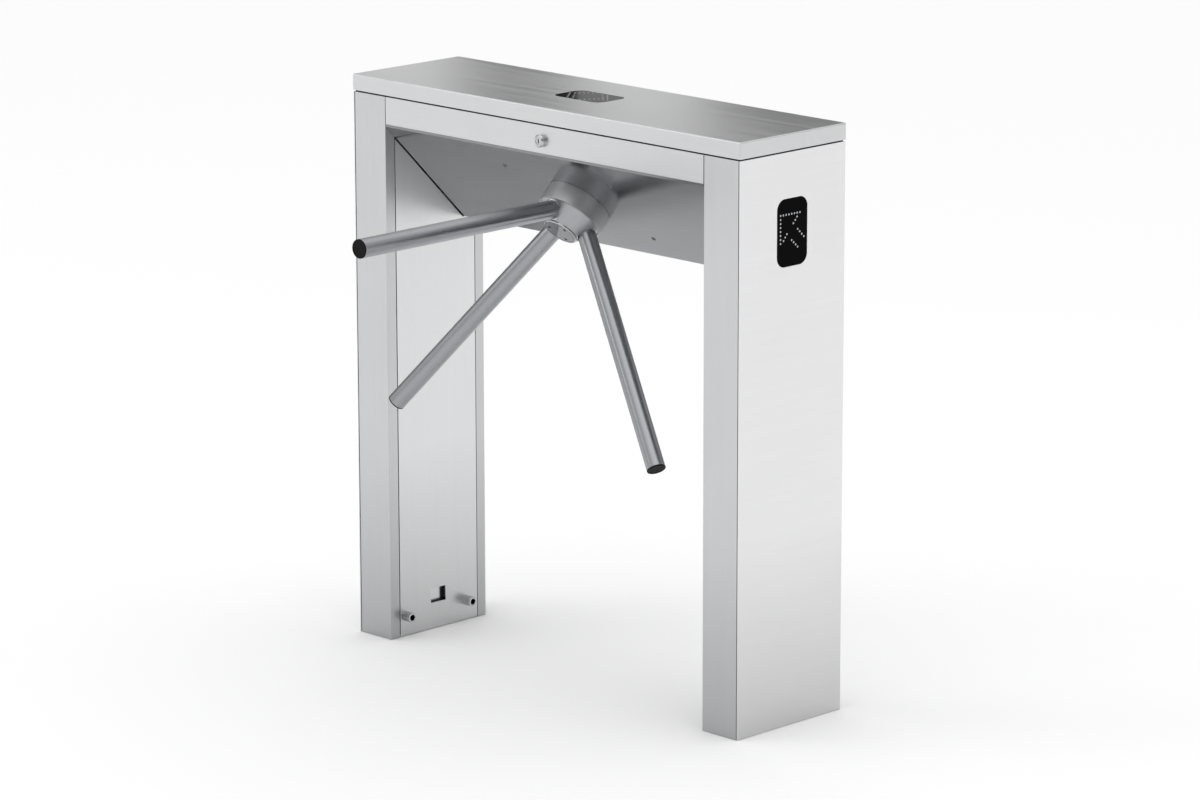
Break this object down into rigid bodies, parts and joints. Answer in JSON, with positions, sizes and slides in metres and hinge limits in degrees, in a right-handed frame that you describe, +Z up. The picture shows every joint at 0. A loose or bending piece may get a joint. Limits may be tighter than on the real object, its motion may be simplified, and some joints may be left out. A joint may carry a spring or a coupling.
{
  "type": "visitor counter turnstile",
  "caption": "Bridge tripod turnstile: steel cabinet on two legs, three-armed rotor on a 45 degree plate, with locking, self-centring and counting gear inside and a hinged locking lid.",
  "frame": {"origin": "on the floor, midway between the four floor anchors", "axes": "+X along the cabinet, -Y towards the passage, +Z up"},
  "size_m": [0.922, 0.6755, 1],
  "materials": {
    "satin_stainless": "satin brushed, vertical grain",
    "lid_stainless": "satin brushed along the lid",
    "plate_stainless": "fine satin, blurred reflections",
    "arm_stainless": "satin tube",
    "hub_alloy": "bead blasted",
    "polished_steel": "polished",
    "black_plug": "matt moulded",
    "display_black": "gloss smoked window",
    "circuit_board": "solder mask",
    "zinc_steel": "zinc plated",
    "black_steel": "black oxide",
    "cast_alloy": "as cast",
    "gear_steel": "machined",
    "brass": "machined",
    "seal_rubber": "matt",
    "spring_steel": "drawn wire"
  },
  "bodies": {
    "cabinet": {"leg_shell_right": "satin_stainless", "leg_shell_left": "satin_stainless", "base_plates": "zinc_steel", "conduit_grommets": "seal_rubber", "end_panel_right": "satin_stainless", "end_panel_left": "satin_stainless", "end_windows": "display_black", "end_led_boards": "circuit_board", "inner_cover_right": "satin_stainless", "inner_cover_left": "satin_stainless", "cable_window_blanks": "satin_stainless", "cover_sleeve_bolts": "polished_steel", "front_apron": "satin_stainless", "inclined_plate": "plate_stainless", "plate_screws": "polished_steel", "belly_plate": "satin_stainless", "rear_cover": "satin_stainless", "lid_gasket": "seal_rubber", "hinge_fixed_leaves": "satin_stainless", "hinge_pins": "zinc_steel", "lock_barrel": "polished_steel", "lock_nut": "zinc_steel", "collar": "arm_stainless", "bearing_housing": "cast_alloy", "housing_bolts": "black_steel", "bearings": "gear_steel", "core_plate": "zinc_steel", "core_pillars": "zinc_steel", "centring_spring": "spring_steel", "core_studs": "gear_steel", "solenoids": "zinc_steel", "count_sensor": "black_plug", "controller_board": "circuit_board", "board_standoffs": "brass", "power_supply": "zinc_steel"},
    "rotor": {"rotor_shaft": "gear_steel", "rotor_hub": "hub_alloy", "arm_1": "arm_stainless", "arm_2": "arm_stainless", "arm_3": "arm_stainless", "arm_end_plugs": "black_plug", "arm_washers": "polished_steel", "hub_cap": "polished_steel", "hub_cap_screws": "black_steel", "shaft_nut": "zinc_steel", "main_gear": "gear_steel", "lock_wheel": "gear_steel", "encoder_disc": "black_steel"},
    "crank": {"crank_gear": "brass"},
    "pawl_upper": {"pawl_upper": "gear_steel"},
    "pawl_lower": {"pawl_lower": "gear_steel"},
    "plunger_upper": {"plunger_upper": "gear_steel"},
    "plunger_lower": {"plunger_lower": "gear_steel"},
    "lock": {"lock_plug": "polished_steel", "lock_cam": "zinc_steel"},
    "lid": {"lid": "lid_stainless", "top_window": "display_black", "top_led_board": "circuit_board", "striker": "zinc_steel", "hinge_moving_leaves": "satin_stainless"}
  },
  "joints": [
    {"name": "rotor_spin", "type": "hinge", "parent": "cabinet", "child": "rotor", "pos_m": [0, -0.03308, 0.82538], "axis": [0, -0.7071, -0.7071], "continuous": true},
    {"name": "crank_spin", "type": "hinge", "parent": "cabinet", "child": "crank", "pos_m": [0.072, -0.03308, 0.82538], "axis": [0, -0.7071, -0.7071], "continuous": true, "deforming": ["centring_spring"]},
    {"name": "pawl_upper_swing", "type": "hinge", "parent": "cabinet", "child": "pawl_upper", "pos_m": [-0.045, -0.07692, 0.86922], "axis": [0, 0.7071, 0.7071], "range_deg": [0, 10], "stiffness_Nm_per_rad": 0.1, "springref_deg": -17.19},
    {"name": "pawl_lower_swing", "type": "hinge", "parent": "cabinet", "child": "pawl_lower", "pos_m": [-0.045, 0.01076, 0.78154], "axis": [0, -0.7071, -0.7071], "range_deg": [0, 10], "stiffness_Nm_per_rad": 0.1, "springref_deg": -17.19},
    {"name": "plunger_upper_push", "type": "slide", "parent": "cabinet", "child": "plunger_upper", "axis": [1, 0, 0], "range_m": [0, 0.0036]},
    {"name": "plunger_lower_push", "type": "slide", "parent": "cabinet", "child": "plunger_lower", "axis": [1, 0, 0], "range_m": [0, 0.0036]},
    {"name": "lid_hinge", "type": "hinge", "parent": "cabinet", "child": "lid", "pos_m": [0, 0.13, 0.97065], "axis": [-1, 0, 0], "range_deg": [0, 95]},
    {"name": "lock_turn", "type": "hinge", "parent": "cabinet", "child": "lock", "pos_m": [0.0049, -0.125, 0.9434], "axis": [0, 1, 0], "range_deg": [0, 90]}
  ],
  "couplings": [
    {"joint": "crank_spin", "follows": "rotor_spin", "ratio": -3},
    {"joint": "plunger_upper_push", "follows": "pawl_upper_swing", "m_per_rad": 0.0199},
    {"joint": "plunger_lower_push", "follows": "pawl_lower_swing", "m_per_rad": 0.0199}
  ]
}
